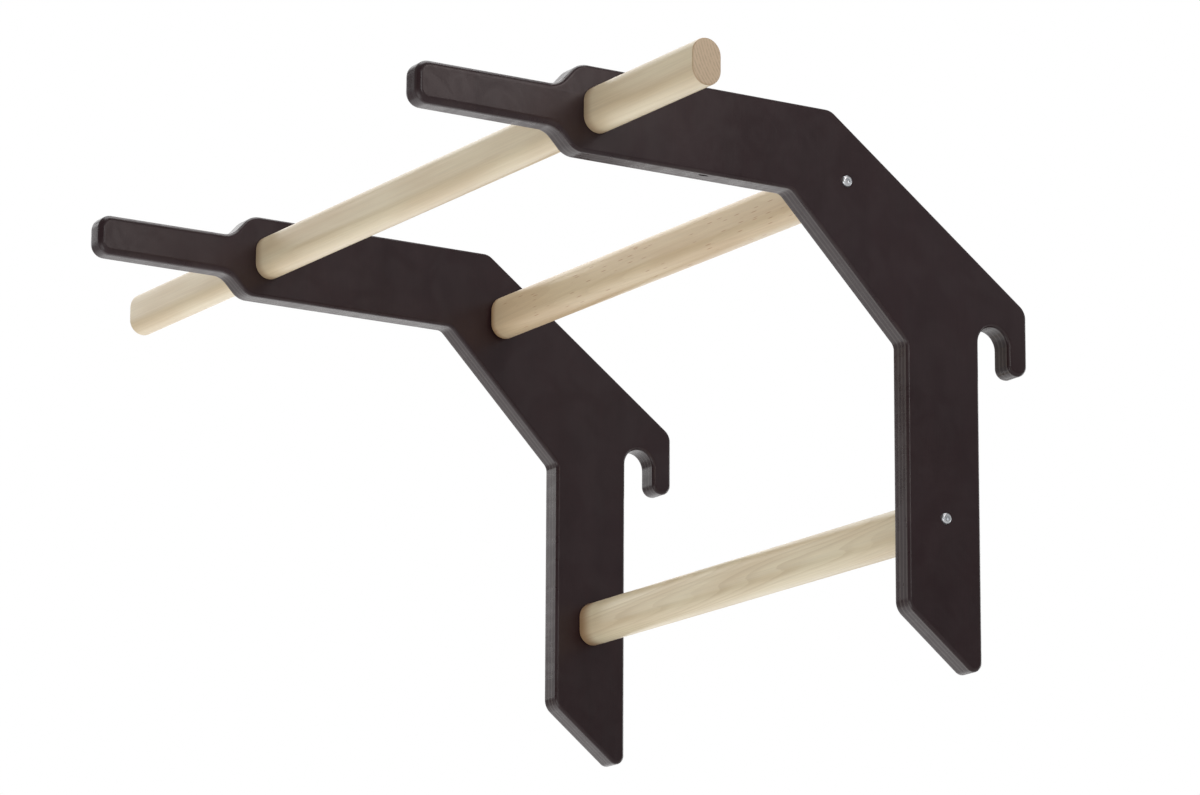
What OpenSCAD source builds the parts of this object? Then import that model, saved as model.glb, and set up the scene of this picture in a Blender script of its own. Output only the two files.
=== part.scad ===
// Pull-up bar attachment that hooks over a rung of a set of wall bars.
// Origin: centre of the rung seat, the round top of the two hook slots, midway between the plates.
// +X runs along the bars, +Y points to the wall, +Z is up. The handles point away from the wall.

/* [Frame] */
// Thickness of each plywood side plate
plate_t = 24; // [20:1:30]
// Clear width between the two side plates
inner_w = 576; // [450:1:650]

/* [Hook] */
// Width of the slot that drops over the rung
slot_w = 33; // [30:1:36]
// Thickness of the finger behind the rung, in side view
finger_w = 21; // [20:0.5:30]
// How far the finger reaches below the centre of the rung seat
finger_drop = 26; // [24:1:40]
// Height of the hook's outer corner above the centre of the rung seat
hook_shoulder_z = 36; // [30:0.5:45]

/* [Leg and arm] */
// Width of the leg that rests against the rungs
leg_w = 79.5; // [70:0.5:90]
// Height of the leg's lowest corner, below the rung seat
leg_tip_z = -313.5; // [-340:0.5:-290]
// Angle of the cut at the foot of the leg, from the horizontal
foot_cut_angle = 38; // [30:1:45]
// Height where the leg's front edge turns into the slanted brace edge
knee_z = -10; // [-20:0.5:10]
// Height of the arm's top edge
arm_top_z = 193.5; // [190:0.5:210]
// Depth of the arm, top edge to bottom edge
arm_h = 80; // [76:1:84]
// Angle of the slanted back edge, from the horizontal
back_slant_angle = 36.3; // [34:0.1:38]
// Overall depth, from the hook's outer edge to the end of the handle
reach = 643.5; // [630:0.5:670]

/* [Handle] */
// Step from the arm's top edge down to the handle's top edge
handle_step = 21.5; // [20:0.5:24]
// Depth of the handle, top edge to bottom edge
handle_h = 39; // [36:1:40]
// Distance from the handle's end to the step above it
grip_top_l = 142.5; // [138:0.5:150]
// Distance from the handle's end to the step below it
grip_bottom_l = 140; // [138:1:150]
// Horizontal run of each step
step_run = 20; // [16:1:24]
// Radius at each step, inside and outside
step_r = 20; // [16:1:22]

/* [Bars] */
// Width of the oval bar section, front to back
bar_w = 29; // [28:1:30]
// Height of the oval bar section
bar_h = 42; // [40:1:44]
// How far the pull-up bar sticks out past the right-hand plate
overhang_right = 174; // [100:1:250]
// How far the pull-up bar sticks out past the left-hand plate
overhang_left = 243; // [100:1:300]
// Distance of the pull-up bar in front of the rung seat
pull_up_bar_front = 424; // [420:0.5:430]
// Height of the pull-up bar above the rung seat
pull_up_bar_rise = 153.5; // [148:0.5:159]
// Distance of the middle cross bar in front of the rung seat
middle_bar_front = 161.5; // [150:0.5:175]
// Height of the middle cross bar above the rung seat
middle_bar_rise = 129; // [110:0.5:135]
// Distance of the lower cross bar in front of the rung seat
lower_bar_front = 56; // [40:0.5:70]
// Depth of the lower cross bar below the rung seat
lower_bar_drop = 168; // [100:0.5:200]

/* [Fasteners] */
// Head diameter of the cross bar screws
screw_head_d = 10.5; // [10:0.5:11]
// Height of the domed screw head
screw_head_h = 3.3; // [3:0.1:4]
// Thread diameter of the cross bar screws
screw_d = 6; // [5:1:6]
// Length of the cross bar screws under the head
screw_l = 45; // [45:1:50]
// Width across the flats of the hexagon socket
socket_af = 4; // [3:1:4]
// Outer diameter of the threaded insert in each bar end
insert_d = 10; // [9:1:10]
// Length of the threaded insert
insert_l = 20; // [16:1:20]
// Diameter of the wooden dowel that stops each bar end turning
dowel_d = 8; // [6:1:8]
// Length of the dowel, half in the plate and half in the bar
dowel_l = 28; // [24:1:32]
// Height of the dowel above the screw
dowel_rise = 11.5; // [10:0.5:12]
// Shank diameter of the screw that locks the pull-up bar
lock_d = 5; // [4:1:6]
// Head diameter of the lock screw
lock_head_d = 9.6; // [9:0.1:10]
// Length of the lock screw
lock_l = 50; // [45:1:55]

/* [Hidden] */
$fn = 96;

pull_up_bar_at = [-pull_up_bar_front, pull_up_bar_rise];
middle_bar_at = [-middle_bar_front, middle_bar_rise];
lower_bar_at = [-lower_bar_front, -lower_bar_drop];

slot_r = slot_w / 2;
leg_back_y = -slot_r;
leg_front_y = leg_back_y - leg_w;
hook_back_y = slot_r + finger_w;
arm_bottom_z = arm_top_z - arm_h;
handle_top_z = arm_top_z - handle_step;
handle_bottom_z = handle_top_z - handle_h;
grip_end_y = hook_back_y - reach;
bend_y = hook_back_y - (arm_top_z - hook_shoulder_z) / tan(back_slant_angle);
elbow_y = leg_front_y - (arm_bottom_z - knee_z);
foot_front_z = leg_tip_z + leg_w * tan(foot_cut_angle);
grip_end_r = 13;
finger_end_r = finger_w / 2 - 0.5;
foot_r = 9;
foot_front_r = 16;
hook_corner_r = 15;
bend_r = 16;
knee_r = 10;
arc_steps = 12;

inner_x = inner_w / 2;
outer_x = inner_x + plate_t;
shank_play = 0.25;
insert_hole_l = 30;
socket_depth = 2.2;
thread_tip = 1;
lock_head_h = 2.8;
lock_tip = 8;

// Corners of the side plate in side view, as [y, z, radius], clockwise from the handle's end
plate_corners = [
    [grip_end_y, handle_top_z, grip_end_r],
    [grip_end_y + grip_top_l, handle_top_z, step_r],
    [grip_end_y + grip_top_l + step_run, arm_top_z, step_r],
    [bend_y, arm_top_z, bend_r],
    [hook_back_y, hook_shoulder_z, hook_corner_r],
    [hook_back_y, -finger_drop, finger_end_r],
    [slot_r, -finger_drop, finger_end_r],
    [slot_r, 0, 0],
    [leg_back_y, 0, 0],
    [leg_back_y, leg_tip_z, foot_r],
    [leg_front_y, foot_front_z, foot_front_r],
    [leg_front_y, knee_z, knee_r],
    [elbow_y, arm_bottom_z, knee_r],
    [grip_end_y + grip_bottom_l + step_run, arm_bottom_z, step_r],
    [grip_end_y + grip_bottom_l, handle_bottom_z, step_r],
    [grip_end_y, handle_bottom_z, grip_end_r]
];

function point(c) = [c[0], c[1]];
function unit(v) = v / norm(v);
function heading(v) = atan2(v[1], v[0]);

// Unit vectors from corner i towards its two neighbours
function back_dir(p, i) = unit(point(p[(i + len(p) - 1) % len(p)]) - point(p[i]));
function ahead_dir(p, i) = unit(point(p[(i + 1) % len(p)]) - point(p[i]));

// Half the angle between the two edges that meet at corner i
function half_angle(p, i) = acos(back_dir(p, i) * ahead_dir(p, i)) / 2;

function arc_centre(p, i) =
    point(p[i]) + unit(back_dir(p, i) + ahead_dir(p, i)) * p[i][2] / sin(half_angle(p, i));

// Heading from the arc's centre to where it meets the edge that runs along dir
function arc_heading(p, i, dir) =
    heading(point(p[i]) + dir * p[i][2] / tan(half_angle(p, i)) - arc_centre(p, i));

// The short way round from one heading to another
function turn(from, to) = (to - from + 540) % 360 - 180;

// Points along the arc at corner i, or the bare corner where its radius is 0
function corner_points(p, i) =
    p[i][2] == 0
        ? [point(p[i])]
        : let (from = arc_heading(p, i, back_dir(p, i)), to = arc_heading(p, i, ahead_dir(p, i)))
          [for (k = [0 : arc_steps])
              let (a = from + turn(from, to) * k / arc_steps)
              arc_centre(p, i) + p[i][2] * [cos(a), sin(a)]];

module rounded_outline(p) {
    polygon([for (i = [0 : len(p) - 1]) each corner_points(p, i)]);
}

// Extrudes a shape drawn in side view, [y, z], along X from x0
module along_x(x0, length) {
    translate([x0, 0, 0]) rotate([90, 0, 90]) linear_extrude(length) children();
}

// Straight sides with fully round top and bottom
module bar_section(at) {
    translate(at) {
        square([bar_w, bar_h - bar_w], center = true);
        for (s = [-1, 1]) translate([0, s * (bar_h - bar_w) / 2]) circle(d = bar_w);
    }
}

// A round rod or hole along X, centred on a bar
module rod_x(at, d, x0, length) {
    along_x(x0, length) translate(at) circle(d = d);
}

// Mirrors what is drawn for the right-hand side (s = 1) to the left-hand side (s = -1)
module on_side(s) {
    if (s > 0) children();
    else mirror([1, 0, 0]) children();
}

module plate_profile() {
    difference() {
        rounded_outline(plate_corners);
        circle(r = slot_r);
        bar_section(pull_up_bar_at);
    }
}

module side_plate() {
    color([0.19, 0.155, 0.16]) difference() {
        along_x(inner_x, plate_t) plate_profile();
        for (at = [middle_bar_at, lower_bar_at]) {
            rod_x(at, screw_d + 2 * shank_play, inner_x - 1, plate_t + 2);
            rod_x(at + [0, dowel_rise], dowel_d, inner_x - 1, dowel_l / 2 + 1);
        }
        lock_screw_body();
    }
}

module pull_up_bar() {
    color([0.80, 0.71, 0.56]) difference() {
        along_x(-outer_x - overhang_left, 2 * outer_x + overhang_left + overhang_right)
            bar_section(pull_up_bar_at);
        for (s = [-1, 1]) on_side(s) lock_screw_body();
    }
}

module cross_bar(at) {
    color([0.80, 0.71, 0.56]) difference() {
        along_x(-inner_x, inner_w) bar_section(at);
        for (s = [-1, 1]) on_side(s) {
            rod_x(at, insert_d, inner_x - insert_l, insert_l + 1);
            rod_x(at, screw_d + 2 * shank_play, inner_x - insert_hole_l, insert_hole_l);
            rod_x(at + [0, dowel_rise], dowel_d, inner_x - dowel_l / 2, dowel_l / 2 + 1);
        }
    }
}

// Domed head with a hexagon socket, and a plain shank in place of the thread
module bar_screw(at) {
    color([0.72, 0.74, 0.74]) difference() {
        translate([outer_x, at[0], at[1]]) rotate([0, 90, 0]) rotate_extrude()
            polygon([
                [0, -screw_l], [screw_d / 2 - thread_tip, -screw_l],
                [screw_d / 2, -screw_l + thread_tip], [screw_d / 2, 0],
                [screw_head_d / 2, 0], [screw_head_d / 2, screw_head_h * 0.3],
                [screw_head_d * 0.42, screw_head_h * 0.72],
                [screw_head_d * 0.3, screw_head_h], [0, screw_head_h]
            ]);
        along_x(outer_x + screw_head_h - socket_depth, socket_depth + 1)
            translate(at) circle(d = socket_af / cos(30), $fn = 6);
    }
}

module insert(at) {
    color([0.78, 0.68, 0.40]) difference() {
        rod_x(at, insert_d, inner_x - insert_l, insert_l);
        rod_x(at, screw_d, inner_x - insert_l - 1, insert_l + 2);
    }
}

module dowel(at) {
    color([0.86, 0.76, 0.58])
        rod_x(at + [0, dowel_rise], dowel_d, inner_x - dowel_l / 2, dowel_l);
}

// Countersunk screw driven down from the arm's top edge into the pull-up bar
module lock_screw_body() {
    translate([inner_x + plate_t / 2, pull_up_bar_at[0], arm_top_z]) rotate_extrude()
        polygon([
            [0, 0], [lock_head_d / 2, 0], [lock_d / 2, -lock_head_h],
            [lock_d / 2, -lock_l + lock_tip], [0.5, -lock_l], [0, -lock_l]
        ]);
}

module lock_screw() {
    color([0.72, 0.74, 0.74]) difference() {
        lock_screw_body();
        translate([inner_x + plate_t / 2, pull_up_bar_at[0], arm_top_z - socket_depth])
            cylinder(d = socket_af / cos(30), h = socket_depth + 1, $fn = 6);
    }
}

side_plate();  // right_side_plate
on_side(-1) side_plate();  // left_side_plate
pull_up_bar();
cross_bar(middle_bar_at);  // middle_cross_bar
cross_bar(lower_bar_at);  // lower_cross_bar
bar_screw(middle_bar_at);  // middle_bar_screw_right
on_side(-1) bar_screw(middle_bar_at);  // middle_bar_screw_left
bar_screw(lower_bar_at);  // lower_bar_screw_right
on_side(-1) bar_screw(lower_bar_at);  // lower_bar_screw_left
insert(middle_bar_at);  // middle_bar_insert_right
on_side(-1) insert(middle_bar_at);  // middle_bar_insert_left
insert(lower_bar_at);  // lower_bar_insert_right
on_side(-1) insert(lower_bar_at);  // lower_bar_insert_left
dowel(middle_bar_at);  // middle_bar_dowel_right
on_side(-1) dowel(middle_bar_at);  // middle_bar_dowel_left
dowel(lower_bar_at);  // lower_bar_dowel_right
on_side(-1) dowel(lower_bar_at);  // lower_bar_dowel_left
lock_screw();  // pull_up_bar_lock_screw_right
on_side(-1) lock_screw();  // pull_up_bar_lock_screw_left
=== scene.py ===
import math

import bmesh
import bpy
from mathutils import Matrix, Vector
from mathutils.geometry import tessellate_polygon


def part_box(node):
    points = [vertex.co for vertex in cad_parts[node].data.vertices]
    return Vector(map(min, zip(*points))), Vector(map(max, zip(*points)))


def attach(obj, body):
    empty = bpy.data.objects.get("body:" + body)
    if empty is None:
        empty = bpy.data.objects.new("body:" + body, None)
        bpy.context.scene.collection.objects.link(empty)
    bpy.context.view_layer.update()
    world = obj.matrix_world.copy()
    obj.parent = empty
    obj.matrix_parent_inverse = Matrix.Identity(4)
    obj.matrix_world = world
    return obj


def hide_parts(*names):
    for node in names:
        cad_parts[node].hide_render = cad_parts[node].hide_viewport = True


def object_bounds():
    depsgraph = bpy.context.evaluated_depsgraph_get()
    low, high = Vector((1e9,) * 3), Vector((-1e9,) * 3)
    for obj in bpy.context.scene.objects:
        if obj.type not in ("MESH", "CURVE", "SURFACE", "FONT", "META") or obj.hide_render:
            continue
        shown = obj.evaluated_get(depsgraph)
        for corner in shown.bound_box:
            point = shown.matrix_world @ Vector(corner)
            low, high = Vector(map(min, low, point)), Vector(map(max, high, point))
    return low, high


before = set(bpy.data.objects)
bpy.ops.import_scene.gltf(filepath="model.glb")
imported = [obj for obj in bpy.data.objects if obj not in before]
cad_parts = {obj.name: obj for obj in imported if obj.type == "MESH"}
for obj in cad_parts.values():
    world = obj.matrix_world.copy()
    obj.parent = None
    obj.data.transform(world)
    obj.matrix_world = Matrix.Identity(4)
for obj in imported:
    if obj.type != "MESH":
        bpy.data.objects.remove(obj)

cad_lo, cad_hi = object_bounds()
plate_lo, plate_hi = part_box("right_side_plate")
MM = 0.001


# ---------------------------------------------------------------- camera, stage and light

CAMERA_AZIMUTH = math.radians(58.080)
CAMERA_ELEVATION = math.radians(-13.357)
CAMERA_ROLL = math.radians(0.253)
CAMERA_DISTANCE = 5.1204
CAMERA_LENS = 159.80
AIM_OFFSET = Vector((-0.0899, 0.1353, 0.0735))
FLOOR_DROP = 7.0
FLOOR_HALF = 90
FLOOR_GLOW = 0.30
WORLD_LIGHT = 0.28


def make_camera():
    sin_a, cos_a = math.sin(CAMERA_AZIMUTH), math.cos(CAMERA_AZIMUTH)
    sin_e, cos_e = math.sin(CAMERA_ELEVATION), math.cos(CAMERA_ELEVATION)
    back = Vector((sin_a * cos_e, -cos_a * cos_e, sin_e))
    level = Vector((0, 0, 1)).cross(back).normalized()
    rise = back.cross(level)
    right = level * math.cos(CAMERA_ROLL) + rise * math.sin(CAMERA_ROLL)
    up = rise * math.cos(CAMERA_ROLL) - level * math.sin(CAMERA_ROLL)
    aim = (cad_lo + cad_hi) / 2 + AIM_OFFSET
    data = bpy.data.cameras.new("camera")
    data.lens = CAMERA_LENS
    data.sensor_width = 36
    data.clip_end = 300
    camera = bpy.data.objects.new("camera", data)
    camera.location = aim + back * CAMERA_DISTANCE
    axes = [right, up, back]
    camera.rotation_mode = "QUATERNION"
    camera.rotation_quaternion = Matrix(axes).transposed().to_quaternion()
    bpy.context.scene.collection.objects.link(camera)
    bpy.context.scene.camera = camera


def area_light(name, place, target, size, power, colour=(1, 1, 1)):
    data = bpy.data.lights.new(name, "AREA")
    data.shape = "RECTANGLE"
    data.size, data.size_y = size
    data.energy = power
    data.color = colour
    light = bpy.data.objects.new(name, data)
    light.location = place
    light.rotation_mode = "QUATERNION"
    light.rotation_quaternion = (Vector(target) - Vector(place)).to_track_quat("-Z", "Y")
    light.visible_camera = False
    bpy.context.scene.collection.objects.link(light)


def make_world():
    world = bpy.data.worlds.new("studio")
    world.use_nodes = True
    bpy.context.scene.world = world
    nodes, links = world.node_tree.nodes, world.node_tree.links
    nodes.clear()
    out = nodes.new("ShaderNodeOutputWorld")
    mix = nodes.new("ShaderNodeMixShader")
    seen = nodes.new("ShaderNodeBackground")
    lit = nodes.new("ShaderNodeBackground")
    path = nodes.new("ShaderNodeLightPath")
    seen.inputs["Color"].default_value = (1, 1, 1, 1)
    lit.inputs["Color"].default_value = (1, 1, 1, 1)
    lit.inputs["Strength"].default_value = WORLD_LIGHT
    links.new(path.outputs["Is Camera Ray"], mix.inputs["Fac"])
    links.new(lit.outputs[0], mix.inputs[1])
    links.new(seen.outputs[0], mix.inputs[2])
    links.new(mix.outputs[0], out.inputs["Surface"])


def make_floor():
    """A pale floor, so far below that low views clear it. Its faint even glow stands in for bounced light."""
    bm = bmesh.new()
    bmesh.ops.create_grid(bm, x_segments=8, y_segments=8, size=FLOOR_HALF)
    mesh = bpy.data.meshes.new("floor")
    bm.to_mesh(mesh)
    bm.free()
    floor = bpy.data.objects.new("floor", mesh)
    floor.location = (0, 0, cad_lo.z - FLOOR_DROP)
    material = bpy.data.materials.new("pale_floor")
    material.use_nodes = True
    shader = material.node_tree.nodes["Principled BSDF"]
    shader.inputs["Base Color"].default_value = (0.86, 0.86, 0.85, 1)
    shader.inputs["Roughness"].default_value = 0.9
    shader.inputs["Emission Color"].default_value = (1, 1, 1, 1)
    shader.inputs["Emission Strength"].default_value = FLOOR_GLOW
    mesh.materials.append(material)
    bpy.context.scene.collection.objects.link(floor)


make_camera()
make_world()
make_floor()
area_light("low_left", (-2.3, 0.0, -1.6), (-2.3, 0.0, 0.0), (3.6, 4.4), 41, (0.98, 0.99, 1.0))
area_light("left", (-3.0, 0.9, -1.0), (0, -0.2, 0), (2.0, 1.2), 5)
area_light("left_high", (-2.6, -1.15, 0.80), (0, -0.2, 0), (1.0, 1.2), 8)
area_light("left_top", (-2.5, 0.25, 1.7), (0, -0.3, 0.1), (2.0, 1.4), 13)
area_light("left_back", (-3.0, 1.9, 0.6), (0, -0.1, 0), (1.6, 1.8), 14)
area_light("top", (-0.3, -0.2, 2.5), (-0.3, -0.2, 0), (2.0, 2.0), 44)
area_light("front_low", (0.4, -2.4, -1.4), (0, -0.3, 0), (2.0, 1.6), 16)
area_light("back", (-0.6, 3.0, -0.2), (0, -0.3, 0), (3.0, 2.0), 50)
area_light("right", (2.8, -1.1, 0.72), (0.3, -0.3, 0), (0.5, 1.2), 9)
area_light("back_right", (2.0, 1.75, 1.0), (-0.3, -0.1, 0.1), (0.9, 0.7), 1.3)
area_light("handles", (1.2, -0.12, 0.68), (0.1, -0.5, 0.155), (0.5, 0.5), 2.4, (1.0, 0.90, 0.87))
bpy.context.scene.view_settings.view_transform = "Standard"


# ---------------------------------------------------------------- outlines taken from the CAD nodes

def end_loops(node, x):
    """Closed loops of (y, z) points around a CAD node's flat face at x, the longest loop first."""
    bm = bmesh.new()
    bm.from_mesh(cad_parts[node].data)
    bmesh.ops.remove_doubles(bm, verts=bm.verts, dist=1e-6)
    bm.normal_update()
    rim = []
    for edge in bm.edges:
        if all(abs(v.co.x - x) < 1e-5 for v in edge.verts):
            flat = [all(abs(v.co.x - x) < 1e-5 for v in f.verts) for f in edge.link_faces]
            if sum(flat) == 1:
                rim.append(edge)
    beside = {}
    for edge in rim:
        for v in edge.verts:
            beside.setdefault(v, []).append(edge)
    loops, left = [], set(rim)
    while left:
        edge = min(left, key=lambda e: e.index)
        start = v = edge.verts[0]
        loop = []
        while True:
            loop.append((v.co.y, v.co.z))
            left.discard(edge)
            v = edge.other_vert(v)
            if v is start:
                break
            edge = next(e for e in beside[v] if e in left)
        loops.append(loop)
    bm.free()
    return sorted((turned_left(loop) for loop in loops), key=loop_length, reverse=True)


def loop_area(loop):
    return sum(a[0] * b[1] - b[0] * a[1] for a, b in zip(loop, loop[1:] + loop[:1])) / 2


def turned_left(loop):
    """The loop run anticlockwise."""
    return loop if loop_area(loop) > 0 else loop[::-1]


def loop_length(loop):
    return sum(math.dist(a, b) for a, b in zip(loop, loop[1:] + loop[:1]))


def inward(loop):
    """The offset of each point of an anticlockwise loop that moves its edges inward by one unit."""
    result = []
    for i, p in enumerate(loop):
        a = Vector(p) - Vector(loop[i - 1])
        b = Vector(loop[(i + 1) % len(loop)]) - Vector(p)
        na, nb = Vector((-a.y, a.x)).normalized(), Vector((-b.y, b.x)).normalized()
        both = (na + nb).normalized()
        result.append(both / max(both.dot(na), 0.5))
    return result


ROUND_STEPS = 6


def rounded_prism(name, outer, holes, x_low, x_high, round_low, round_high):
    """A prism along X whose end faces meet its sides in a quarter round. round_low and round_high give
    the radius at a point (y, z) of a loop. A hole has its own loop."""
    mesh = bpy.data.meshes.new(name)
    verts, faces, caps = [], [], {False: [], True: []}
    for loop, is_hole in [(outer, False)] + [(h, True) for h in holes]:
        n = len(loop)
        offsets = inward(loop)
        if is_hole:
            offsets = [-o for o in offsets]
        rings = []
        for k in range(ROUND_STEPS, -1, -1):
            rings.append((False, math.pi / 2 * k / ROUND_STEPS))
        for k in range(ROUND_STEPS + 1):
            rings.append((True, math.pi / 2 * k / ROUND_STEPS))
        starts = []
        for high, angle in rings:
            starts.append(len(verts))
            for p, o in zip(loop, offsets):
                r = (round_high if high else round_low)(p, is_hole)
                inset, depth = r * (1 - math.cos(angle)), r * (1 - math.sin(angle))
                x = x_high - depth if high else x_low + depth
                verts.append((x, p[0] + o.x * inset, p[1] + o.y * inset))
        for a, b in zip(starts, starts[1:]):
            for i in range(n):
                j = (i + 1) % n
                quad = (a + i, a + j, b + j, b + i)
                faces.append(quad[::-1] if is_hole else quad)
        caps[False].append(list(range(starts[0], starts[0] + n)))
        caps[True].append(list(range(starts[-1], starts[-1] + n)))
    for high in (False, True):
        flat = [index for loop in caps[high] for index in loop]
        polygons = [[Vector((verts[i][1], verts[i][2], 0)) for i in loop] for loop in caps[high]]
        for tri in tessellate_polygon(polygons):
            a, b, c = (flat[i] for i in tri)
            u, v, w = verts[a], verts[b], verts[c]
            area = (v[1] - u[1]) * (w[2] - u[2]) - (w[1] - u[1]) * (v[2] - u[2])
            faces.append((a, b, c) if (area > 0) == high else (a, c, b))
    mesh.from_pydata(verts, [], faces)
    mesh.validate()
    obj = bpy.data.objects.new(name, mesh)
    bpy.context.scene.collection.objects.link(obj)
    return obj


def shade(obj, sharp_angle=35):
    """Smooth shading that keeps flat faces flat and edges sharper than sharp_angle, in degrees, crisp."""
    for polygon in obj.data.polygons:
        polygon.use_smooth = True
    obj.data.set_sharp_from_angle(angle=math.radians(sharp_angle))
    normals = obj.modifiers.new("normals", "WEIGHTED_NORMAL")
    normals.mode = "FACE_AREA"
    normals.weight = 50
    normals.keep_sharp = True


def stand_in(obj, node):
    """Makes a piece take the place of a CAD node."""
    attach(obj, "root")
    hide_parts(node)


# ---------------------------------------------------------------- materials

class Shading:
    """One node material. Each method adds a node and returns its output socket."""

    def __init__(self, name):
        self.material = bpy.data.materials.new(name)
        self.material.use_nodes = True
        self.tree = self.material.node_tree
        self.shader = self.tree.nodes["Principled BSDF"]
        coordinates = self.node("ShaderNodeTexCoord")
        self.place = coordinates.outputs["Object"]
        self.normal = coordinates.outputs["Normal"]

    def put(self, socket, value):
        if isinstance(value, bpy.types.NodeSocket):
            self.tree.links.new(value, socket)
        else:
            socket.default_value = value

    def node(self, kind, inputs=(), **settings):
        made = self.tree.nodes.new(kind)
        for key, value in settings.items():
            setattr(made, key, value)
        for key, value in dict(inputs).items():
            self.put(made.inputs[key], value)
        return made

    def math(self, operation, *values):
        return self.node("ShaderNodeMath", enumerate(values), operation=operation).outputs[0]

    def vector(self, operation, *values):
        return self.node("ShaderNodeVectorMath", enumerate(values), operation=operation).outputs[0]

    def split(self, vector):
        return self.node("ShaderNodeSeparateXYZ", {0: vector}).outputs

    def step(self, value, low, high, to_low=0.0, to_high=1.0):
        """A smooth step from to_low at low to to_high at high."""
        inputs = {"Value": value, "From Min": low, "From Max": high, "To Min": to_low, "To Max": to_high}
        made = self.node("ShaderNodeMapRange", inputs, interpolation_type="SMOOTHSTEP")
        return made.outputs["Result"]

    def noise(self, size, detail=2.0, roughness=0.5, distortion=0.0, at=None, shift=0.0):
        """Noise from 0 to 1 whose features are size (x, y, z) metres across."""
        scaled = self.vector("MULTIPLY", at or self.place, [1 / v for v in size])
        moved = self.vector("ADD", scaled, (shift, shift * 1.7, shift * 0.6))
        inputs = {"Vector": moved, "Scale": 1.0, "Detail": detail, "Roughness": roughness,
                  "Distortion": distortion}
        return self.node("ShaderNodeTexNoise", inputs).outputs["Fac"]

    def mix(self, factor, a, b):
        a, b = [(*v, 1.0) if isinstance(v, tuple) and len(v) == 3 else v for v in (a, b)]
        made = self.node("ShaderNodeMix", data_type="RGBA")
        for socket, value in ((made.inputs[0], factor), (made.inputs[6], a), (made.inputs[7], b)):
            self.put(socket, value)
        return made.outputs[2]

    def shade(self, colour, factor):
        """A colour multiplied by a number."""
        made = self.node("ShaderNodeVectorMath", {0: colour, "Scale": factor}, operation="SCALE")
        return made.outputs[0]

    def bump(self, height, distance, strength=1.0):
        made = self.node("ShaderNodeBump", {"Height": height, "Distance": distance, "Strength": strength})
        self.put(self.shader.inputs["Normal"], made.outputs[0])

    def finish(self, colour, roughness, metallic=0.0):
        self.put(self.shader.inputs["Base Color"], colour)
        self.put(self.shader.inputs["Roughness"], roughness)
        self.shader.inputs["Metallic"].default_value = metallic
        return self.material


PLIES = 9
PLATE_WARM = (0.0270, 0.0105, 0.0115)
PLATE_COOL = (0.0205, 0.0088, 0.0120)
PLATE_PLY = (0.0620, 0.0470, 0.0440)
# Pale colour of the rubbed arris, which also paints a highlight line beside the face
PLATE_WORN_AND_HIGHLIGHT = (0.16, 0.12, 0.09)
PLATE_ROUGH = 0.32
PLATE_GLOSS = 0.42
GRIP_STAINED = 110 * MM
GAP_SIZE = (1.8 * MM, 5.5 * MM, 6.0 * MM)


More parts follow.
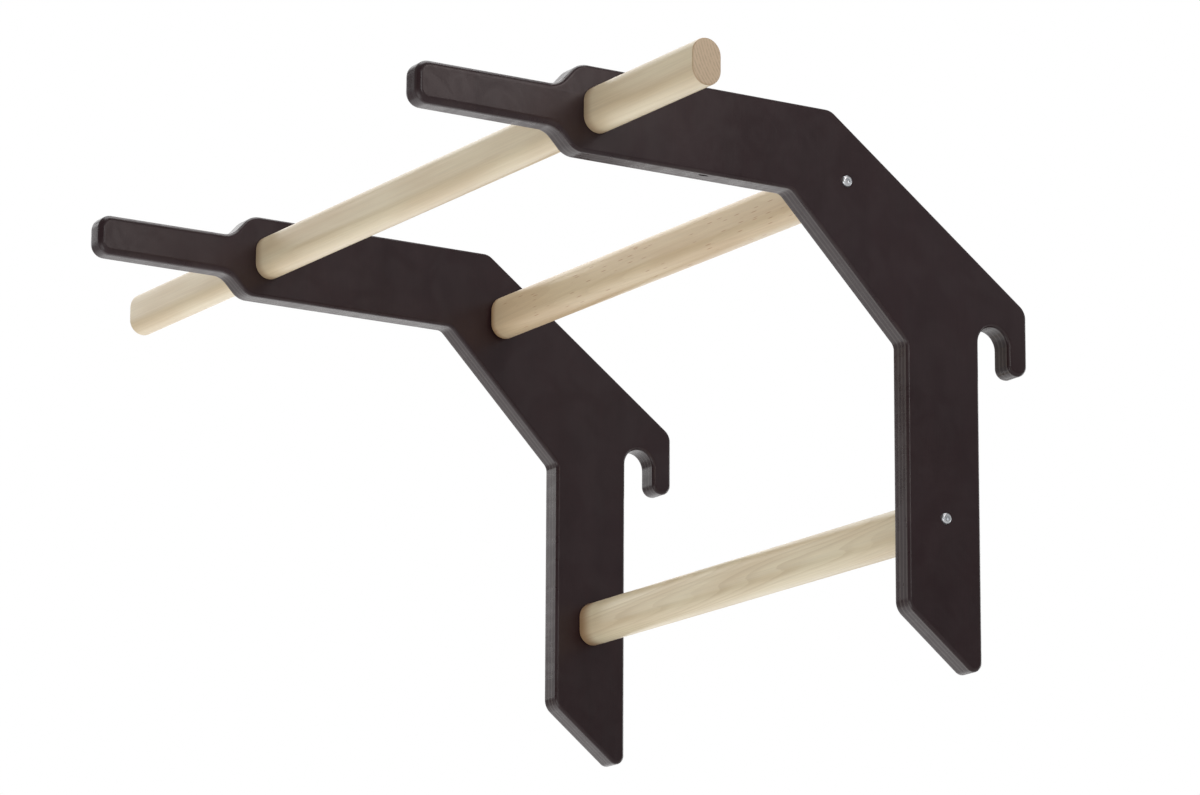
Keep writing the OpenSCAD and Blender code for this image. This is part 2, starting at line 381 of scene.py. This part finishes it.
def stained_plywood(name, inner_x, thickness, gap=None):
    """Dark brown stain on birch plywood whose plies lie across X. gap is the place of a gap in a ply."""
    s = Shading(name)
    x, y, _ = s.split(s.place)
    nx = s.math("ABSOLUTE", s.split(s.normal)[0])
    depth = s.math("DIVIDE", s.math("SUBTRACT", s.math("ABSOLUTE", x), inner_x), thickness / PLIES)
    wave = s.math("MULTIPLY", s.math("SUBTRACT", s.noise((0.2, 0.05, 0.05)), 0.5), 0.35)
    depth = s.math("ADD", depth, wave)
    ply = s.math("FLOOR", depth)
    across = s.math("SUBTRACT", depth, ply)
    odd = s.math("MODULO", ply, 2.0)

    # Every second ply drinks less stain and stays greyer
    glue = s.step(s.math("ABSOLUTE", s.math("SUBTRACT", across, 0.5)), 0.38, 0.47)
    on_edge = s.step(nx, 0.97, 0.80)
    ply_tone = s.node("ShaderNodeTexWhiteNoise", {"W": ply}, noise_dimensions="1D").outputs["Value"]
    streak = s.noise((0.0013, 0.12, 0.12), 2.0, 0.5)
    patch = s.noise((0.012, 0.04, 0.04), 1.0, 0.5, 0.8)
    pale_ply = s.math("MULTIPLY", odd, s.step(ply_tone, 0.0, 1.0, 0.35, 1.0))
    pale_ply = s.math("ADD", pale_ply, s.step(streak, 0.35, 0.70, -0.10, 0.30))
    pale_ply = s.math("MULTIPLY", s.math("MULTIPLY", pale_ply, on_edge), s.step(glue, 0.0, 1.0, 1.0, 0.2))

    # The grips are sanded and stained more thickly, so their plies hardly show
    off_grip = s.step(y, cad_lo.y + GRIP_STAINED, cad_lo.y + GRIP_STAINED * 1.5, 0.15, 1.0)
    pale_ply = s.math("MULTIPLY", pale_ply, off_grip)

    # Brushed swirls and cloudy stain on the faces
    figure = s.noise((0.5, 0.035, 0.11), 4.0, 0.6, 1.2)
    cloud = s.noise((0.3, 0.09, 0.12), 2.0)
    fibre = s.noise((0.3, 0.0011, 0.03), 2.0, 0.6)
    swirl = s.noise((0.3, 0.05, 0.05), 2.0, 0.5, 6.0)
    tone = s.math("ADD", s.step(figure, 0.3, 0.7, 0.93, 1.06), s.step(cloud, 0.3, 0.7, -0.07, 0.07))
    tone = s.math("ADD", tone, s.step(fibre, 0.25, 0.75, -0.07, 0.07))

    # The stain is rubbed thin in places along the rounded arris; this paler band beside the face is also a
    # painted highlight line along the roundover
    arris = s.math("MULTIPLY", s.step(nx, 0.55, 0.9), s.step(nx, 0.999, 0.95))
    worn_and_highlight = s.math("MULTIPLY", arris, s.step(s.noise((0.02, 0.02, 0.02), 4.0, 0.7), 0.45, 0.75))
    stain = s.mix(s.noise((0.3, 0.15, 0.15), 1.0), PLATE_WARM, PLATE_COOL)
    colour = s.mix(pale_ply, s.shade(stain, tone), PLATE_PLY)
    colour = s.mix(s.math("MULTIPLY", worn_and_highlight, 0.10), colour, PLATE_WORN_AND_HIGHLIGHT)
    s.bump(s.math("MULTIPLY", fibre, s.step(nx, 0.8, 0.97)), 0.00010, 0.4)
    rough = s.math("ADD", s.step(swirl, 0.35, 0.65, -0.035, 0.035), PLATE_ROUGH)
    rough = s.math("ADD", rough, s.math("MULTIPLY", on_edge, s.step(patch, 0.35, 0.65, -0.06, 0.02)))
    gloss = s.step(patch, 0.30, 0.70, 0.38, 0.46)
    gloss = s.math("SUBTRACT", gloss, s.math("MULTIPLY", s.math("MULTIPLY", glue, on_edge), 0.12))
    if gap:
        away = s.vector("DIVIDE", s.vector("SUBTRACT", s.place, gap), GAP_SIZE)
        away = s.math("ADD", s.node("ShaderNodeVectorMath", {0: away}, operation="LENGTH").outputs["Value"],
                      s.math("MULTIPLY", s.noise((0.003, 0.003, 0.003)), 0.6))
        # The gap in the ply has no hollow in the mesh: its inside is painted near-black, as painted shade of
        # the hollow
        shaded_open_ply = s.step(away, 1.45, 1.05)
        colour = s.mix(shaded_open_ply, colour, (0.004, 0.002, 0.002))
        gloss = s.math("MULTIPLY", gloss, s.math("SUBTRACT", 1.0, shaded_open_ply))
        rough = s.math("MAXIMUM", rough, shaded_open_ply)
    # The even level is for an exported model, which can't follow the varying one
    s.shader.inputs["Specular IOR Level"].default_value = PLATE_GLOSS
    s.put(s.shader.inputs["Specular IOR Level"], gloss)
    return s.finish(colour, rough)


WOOD_LIGHT = (0.760, 0.643, 0.445)
WOOD_DARK = (0.685, 0.545, 0.358)
WOOD_LINE = (0.520, 0.385, 0.230)
WOOD_FLECK = (0.430, 0.210, 0.115)
WOOD_BROWNED_AND_SHADED = (0.360, 0.205, 0.098)
WOOD_END = (0.555, 0.422, 0.282)


def pale_wood(name, lo, hi, pith, ring, slope, seed, figure=0.2, flecks=0.0, burnt=0.0, brown=0.85,
              tint=(1, 1, 1)):
    """Pale hardwood with the grain along X. pith is the way from the bar to the tree's centre, ring the width
    of a year's growth and slope how fast the rings cross the bar along its length. figure is the strength of
    the growth lines, flecks the share of small dark dashes, and burnt the length beside
    each plate that is darkened brown, partly by the finish and partly as painted shade where bar meets plate,
    as strongly as brown. tint multiplies the wood's colour."""
    s = Shading(name)
    local = s.vector("SUBTRACT", s.place, tuple((lo + hi) / 2))
    x, y, z = s.split(local)
    nx = s.math("ABSOLUTE", s.split(s.normal)[0])
    drift = s.math("SUBTRACT", s.noise((0.28, 0.06, 0.06), 1.0, at=local, shift=seed), 0.5)
    a = s.math("SUBTRACT", y, pith[0])
    b = s.math("SUBTRACT", z, pith[1])
    radius = s.math("SQRT", s.math("ADD", s.math("MULTIPLY", a, a), s.math("MULTIPLY", b, b)))
    radius = s.math("ADD", radius, s.math("MULTIPLY", x, slope))
    radius = s.math("ADD", radius, s.math("MULTIPLY", drift, 0.0045))
    uneven = s.math("SUBTRACT", s.noise((0.05, 0.006, 0.006), 2.0, at=local, shift=seed + 5), 0.5)
    radius = s.math("ADD", radius, s.math("MULTIPLY", uneven, ring * 0.35))
    year = s.math("DIVIDE", radius, ring)
    count = s.math("FLOOR", year)
    growth = s.math("SUBTRACT", year, count)
    line = s.math("MULTIPLY", s.step(growth, 0.35, 0.95), s.step(growth, 1.0, 0.96))
    strength = s.node("ShaderNodeTexWhiteNoise", {"W": count}, noise_dimensions="1D").outputs["Value"]
    line = s.math("MULTIPLY", line, s.step(strength, 0.0, 1.0, 0.25, 1.0))

    streak = s.noise((0.09, 0.0013, 0.0013), 3.0, 0.6, at=local, shift=seed)
    cloud = s.noise((0.16, 0.022, 0.022), 2.0, at=local, shift=seed + 3)
    pore = s.noise((0.0065, 0.00045, 0.00045), 2.0, 0.5, at=local, shift=seed)
    pore = s.step(pore, 0.60, 0.74)
    cells = s.vector("MULTIPLY", local, (1 / 0.026, 1 / 0.0021, 1 / 0.0021))
    cells = s.vector("ADD", cells, (seed, seed, seed))
    spot = s.node("ShaderNodeTexVoronoi", {"Vector": cells, "Scale": 1.0})
    fleck = s.math("MULTIPLY", s.step(spot.outputs["Distance"], 0.24, 0.10),
                   s.step(s.split(spot.outputs["Color"])[0], 1.0 - flecks, 1.02 - flecks))

    colour = s.mix(s.step(cloud, 0.3, 0.7), WOOD_LIGHT, WOOD_DARK)
    colour = s.shade(colour, s.step(streak, 0.25, 0.75, 0.95, 1.035))
    colour = s.mix(s.math("MULTIPLY", line, figure), colour, WOOD_LINE)
    colour = s.mix(s.math("MULTIPLY", pore, 0.16), colour, WOOD_LINE)
    colour = s.mix(s.math("MULTIPLY", fleck, 0.75), colour, WOOD_FLECK)
    broken = s.step(s.noise((0.05, 0.0028, 0.0028), 2.0, at=local, shift=seed + 9), 0.35, 0.65, 0.35, 1.0)
    end_tone = s.math("MULTIPLY", s.step(growth, 0.15, 0.75), s.step(growth, 1.0, 0.85))
    end_tone = s.math("MULTIPLY", end_tone, broken)
    end = s.shade(WOOD_END, s.step(end_tone, 0.0, 1.0, 1.08, 0.88))
    # The rounded arris at the bar's end is darkened brown: partly end grain taking the finish darker, partly
    # painted shade where the bar runs into the plate
    rim = s.math("MULTIPLY", s.step(nx, 0.15, 0.5), s.step(nx, 0.995, 0.9))
    end = s.mix(s.math("MULTIPLY", rim, 0.35), end, WOOD_BROWNED_AND_SHADED)
    colour = s.vector("MULTIPLY", s.mix(s.step(nx, 0.15, 0.6), colour, end), tint)
    # Beside each plate the bar is darkened brown: partly the finish browning the wood there, partly painted
    # shade where the bar meets the plate
    if burnt:
        middle, thick = (plate_hi.x + plate_lo.x) / 2, plate_hi.x - plate_lo.x
        off_middle = s.math("ABSOLUTE", s.math("SUBTRACT", s.math("ABSOLUTE", s.split(s.place)[0]), middle))
        near_plate = s.step(off_middle, thick / 2 + burnt, thick / 2 + burnt * 0.15, 0.0, brown)
        colour = s.mix(near_plate, colour, WOOD_BROWNED_AND_SHADED)
    s.bump(s.math("SUBTRACT", streak, s.math("MULTIPLY", pore, 0.6)), 0.00008, 0.4)
    return s.finish(colour, s.step(cloud, 0.2, 0.8, 0.30, 0.38))


def zinc(name):
    s = Shading(name)
    tarnish = s.noise((0.002, 0.002, 0.002), 4.0, 0.6)
    grain = s.noise((0.0004, 0.0004, 0.0004), 2.0)
    s.bump(grain, 0.00002, 0.4)
    colour = s.mix(tarnish, (0.80, 0.82, 0.84), (0.62, 0.64, 0.67))
    return s.finish(colour, s.step(tarnish, 0.3, 0.7, 0.28, 0.40), 1.0)


def brass(name):
    s = Shading(name)
    tarnish = s.noise((0.003, 0.003, 0.003), 4.0, 0.6)
    s.bump(s.noise((0.0006, 0.0006, 0.0006), 2.0), 0.00003, 0.4)
    colour = s.mix(tarnish, (0.80, 0.62, 0.28), (0.55, 0.40, 0.18))
    return s.finish(colour, s.step(tarnish, 0.3, 0.7, 0.25, 0.40), 1.0)


# ---------------------------------------------------------------- plates

EDGE_ROUND = 3.5 * MM
GRIP_ROUND = 6.0 * MM
HOLE_ROUND = 0.5 * MM
GRIP_LENGTH = 142 * MM
GRIP_BLEND = 30 * MM
ARM_HEIGHT = 80 * MM
GAP_FROM_FACE = 7.0 * MM
GAP_FROM_FRONT = 296 * MM


def plate_round(p, is_hole):
    if is_hole:
        return HOLE_ROUND
    t = (p[0] - (cad_lo.y + GRIP_LENGTH - GRIP_BLEND / 2)) / GRIP_BLEND
    t = min(max(t, 0), 1)
    t = t * t * (3 - 2 * t)
    return GRIP_ROUND + (EDGE_ROUND - GRIP_ROUND) * t


def make_plate(side, sign):
    node = f"{side}_side_plate"
    lo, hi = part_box(node)
    inner_x = min(abs(lo.x), abs(hi.x))
    loops = end_loops(node, hi.x if sign > 0 else lo.x)
    obj = rounded_prism(f"{side}_plate_ply", loops[0], loops[1:], lo.x, hi.x, plate_round, plate_round)
    arm_underside = (hi.x - GAP_FROM_FACE, lo.y + GAP_FROM_FRONT, hi.z - ARM_HEIGHT)
    gap = arm_underside if side == "right" else None
    obj.data.materials.append(stained_plywood(f"stained_ply_{side}", inner_x, hi.x - lo.x, gap))
    stand_in(obj, node)
    return obj


plates = {side: make_plate(side, sign) for side, sign in (("right", 1), ("left", -1))}


# ---------------------------------------------------------------- bars

def make_bar(node, end_round, **look):
    lo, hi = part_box(node)
    loops = end_loops(node, hi.x)

    def even(p, is_hole):
        return end_round

    obj = rounded_prism(f"{node}_wood", loops[0], [], lo.x, hi.x, even, even)
    obj.data.materials.append(pale_wood(f"wood_{node}", lo, hi, **look))
    stand_in(obj, node)
    return obj


bars = {
    "pull_up": make_bar(
        "pull_up_bar", 1.5 * MM, pith=(0.080, 0.041), ring=2.9 * MM, slope=0.004, seed=1.3,
        figure=0.18, burnt=14 * MM, brown=0.45, tint=(0.97, 0.98, 0.99)),
    "middle": make_bar(
        "middle_cross_bar", 4.5 * MM, pith=(0.024, 0.004), ring=1.1 * MM, slope=0.016, seed=7.7,
        figure=0.22, flecks=0.45, burnt=13 * MM, tint=(0.945, 0.905, 0.875)),
    "lower": make_bar(
        "lower_cross_bar", 2.0 * MM, pith=(0.018, -0.004), ring=1.0 * MM, slope=-0.016, seed=4.1,
        figure=0.48, burnt=25 * MM, tint=(0.99, 1.02, 1.04)),
}


# ---------------------------------------------------------------- screws

TURNED_STEPS = 48
SOCKET_ACROSS = 4.0 * MM
SOCKET_DEPTH = 2.2 * MM
SOCKET_LEAD = 0.25 * MM
SOCKET_LEAD_ACROSS = SOCKET_ACROSS * 1.12
SOCKET_FLOOR_R = 0.5 * MM
SOCKET_FLOOR_RISE = 0.3 * MM
THREAD_TIP = 0.8 * MM
BAR_SHANK_R = 3.0 * MM
HEAD_FLAT = 0.56
HEAD_SKIRT = 0.22
DOME_STEPS = 8
LOCK_SHANK_R = 2.5 * MM
LOCK_HEAD_H = 2.8 * MM
LOCK_TIP = 3 * MM
LOCK_TIP_R = 0.4 * MM
SHANK_PLAY = 0.2 * MM
BORE_BEYOND = 2 * MM
CUT_ABOVE = 5 * MM


def hexagon(across):
    """Radius of a hexagon at an angle, from its width across the flats."""
    return lambda angle: across / 2 / math.cos(angle % (math.pi / 3) - math.pi / 6)


def turned(name, rings, foot, axis):
    """A closed piece whose rings (height, radius) stand along an axis from foot. A radius may be a function
    of the angle."""
    turn = Vector(axis).to_track_quat("Z", "X").to_matrix()
    verts, faces = [], []
    n = TURNED_STEPS
    for height, radius in rings:
        for i in range(n):
            angle = 2 * math.pi * i / n
            r = radius(angle) if callable(radius) else radius
            point = Vector((r * math.cos(angle), r * math.sin(angle), height))
            verts.append(tuple(Vector(foot) + turn @ point))
    for k in range(len(rings) - 1):
        for i in range(n):
            j = (i + 1) % n
            faces.append((k * n + i, k * n + j, (k + 1) * n + j, (k + 1) * n + i))
    faces.append(tuple(range(n))[::-1])
    faces.append(tuple(range((len(rings) - 1) * n, len(rings) * n)))
    mesh = bpy.data.meshes.new(name)
    mesh.from_pydata(verts, [], faces)
    mesh.validate()
    obj = bpy.data.objects.new(name, mesh)
    bpy.context.scene.collection.objects.link(obj)
    return obj


def socket_rings(top):
    """A hexagon socket with a small lead-in, from its rim down to its floor."""
    wall = hexagon(SOCKET_ACROSS)
    return [(top, hexagon(SOCKET_LEAD_ACROSS)), (top - SOCKET_LEAD, wall),
            (top - SOCKET_DEPTH + SOCKET_FLOOR_RISE, wall), (top - SOCKET_DEPTH, SOCKET_FLOOR_R)]


def make_bar_screw(node, plate, sign):
    """The screw through a plate into a cross bar, with a domed head."""
    lo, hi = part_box(node)
    side_lo, side_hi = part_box(plate)
    face = side_hi.x if sign > 0 else side_lo.x
    tip, top = (lo.x, hi.x) if sign > 0 else (hi.x, lo.x)
    length, height = abs(face - tip), abs(top - face)
    head_r = (hi.y - lo.y) / 2
    rings = [(-length, BAR_SHANK_R - THREAD_TIP), (-length + THREAD_TIP, BAR_SHANK_R), (0, BAR_SHANK_R)]
    rings.append((0, head_r))
    flat_r, skirt = head_r * HEAD_FLAT, height * HEAD_SKIRT
    for k in range(DOME_STEPS + 1):
        t = math.pi / 2 * k / DOME_STEPS
        rings.append((skirt + (height - skirt) * math.sin(t), flat_r + (head_r - flat_r) * math.cos(t)))
    rings += socket_rings(height)
    centre = (lo + hi) / 2
    obj = turned(f"{node}_turned", rings, (face, centre.y, centre.z), (sign, 0, 0))
    obj.data.materials.append(zinc_look)
    shade(obj, 40)
    stand_in(obj, node)


def cut_away(obj, rings, foot, axis):
    """Cuts a turned shape out of a piece."""
    cutter = turned("cutter", rings, foot, axis)
    cut = obj.modifiers.new("cut", "BOOLEAN")
    cut.operation, cut.solver, cut.object = "DIFFERENCE", "EXACT", cutter
    bpy.context.view_layer.update()
    shaped = obj.evaluated_get(bpy.context.evaluated_depsgraph_get())
    mesh = bpy.data.meshes.new_from_object(shaped)
    obj.modifiers.remove(cut)
    obj.data = mesh
    bpy.data.objects.remove(cutter)


def bore_joint(which, side, sign):
    """The holes for the insert, the screw's tip and the dowel where a cross bar meets a plate."""
    insert_lo, insert_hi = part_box(f"{which}_bar_insert_{side}")
    screw_lo, screw_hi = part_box(f"{which}_bar_screw_{side}")
    dowel_lo, dowel_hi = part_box(f"{which}_bar_dowel_{side}")
    centre = (insert_lo + insert_hi) / 2
    end_x, tip_x = (insert_hi.x, screw_lo.x) if sign > 0 else (insert_lo.x, screw_hi.x)
    insert_r, insert_l = (insert_hi.y - insert_lo.y) / 2, insert_hi.x - insert_lo.x
    depth = max(abs(end_x - tip_x), insert_l) + BORE_BEYOND
    clear_r = BAR_SHANK_R + SHANK_PLAY
    rings = [(-depth, clear_r), (-insert_l, clear_r), (-insert_l, insert_r), (BORE_BEYOND, insert_r)]
    cut_away(bars[which], rings, (end_x, centre.y, centre.z), (sign, 0, 0))
    dowel_r, half = (dowel_hi.y - dowel_lo.y) / 2, (dowel_hi.x - dowel_lo.x) / 2
    for obj in (bars[which], plates[side]):
        cut_away(obj, [(-half, dowel_r), (half, dowel_r)], (dowel_lo + dowel_hi) / 2, (1, 0, 0))


def make_lock_screw(node, plate_obj):
    """The countersunk screw in an arm's top edge, and the hole for it in the plate and the pull-up bar."""
    lo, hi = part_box(node)
    centre = (lo + hi) / 2
    foot = (centre.x, centre.y, hi.z)
    head_r, length = (hi.x - lo.x) / 2, hi.z - lo.z
    shank_hole_r, head_hole_r = LOCK_SHANK_R + SHANK_PLAY, head_r + SHANK_PLAY
    hole = [(-length, shank_hole_r), (-LOCK_HEAD_H - SHANK_PLAY, shank_hole_r), (0, head_hole_r),
            (CUT_ABOVE, head_hole_r)]
    for wooden in (plate_obj, bars["pull_up"]):
        cut_away(wooden, hole, foot, (0, 0, 1))
    rings = [(-length, LOCK_TIP_R), (-length + LOCK_TIP, LOCK_SHANK_R), (-LOCK_HEAD_H, LOCK_SHANK_R),
             (-SHANK_PLAY * 1.5, head_r), (-SHANK_PLAY, head_r - SHANK_PLAY / 2)]
    rings += socket_rings(-SHANK_PLAY)
    obj = turned(f"{node}_turned", rings, foot, (0, 0, 1))
    obj.data.materials.append(zinc_look)
    shade(obj, 40)
    stand_in(obj, node)


zinc_look = zinc("zinc_plated_steel")
brass_look = brass("brass")
for name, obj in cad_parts.items():
    if "insert" in name:
        look = brass_look
    elif "screw" in name:
        look = zinc_look
    elif "dowel" in name:
        lo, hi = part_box(name)
        look = pale_wood(f"wood_{name}", lo, hi, (0.03, 0.01), 2.0 * MM, 0.01, 2.2)
    else:
        continue
    obj.data.materials.clear()
    obj.data.materials.append(look)

for side, sign in (("right", 1), ("left", -1)):
    for which in ("middle", "lower"):
        make_bar_screw(f"{which}_bar_screw_{side}", f"{side}_side_plate", sign)
        bore_joint(which, side, sign)
    make_lock_screw(f"pull_up_bar_lock_screw_{side}", plates[side])
for wooden in (*plates.values(), *bars.values()):
    shade(wooden)
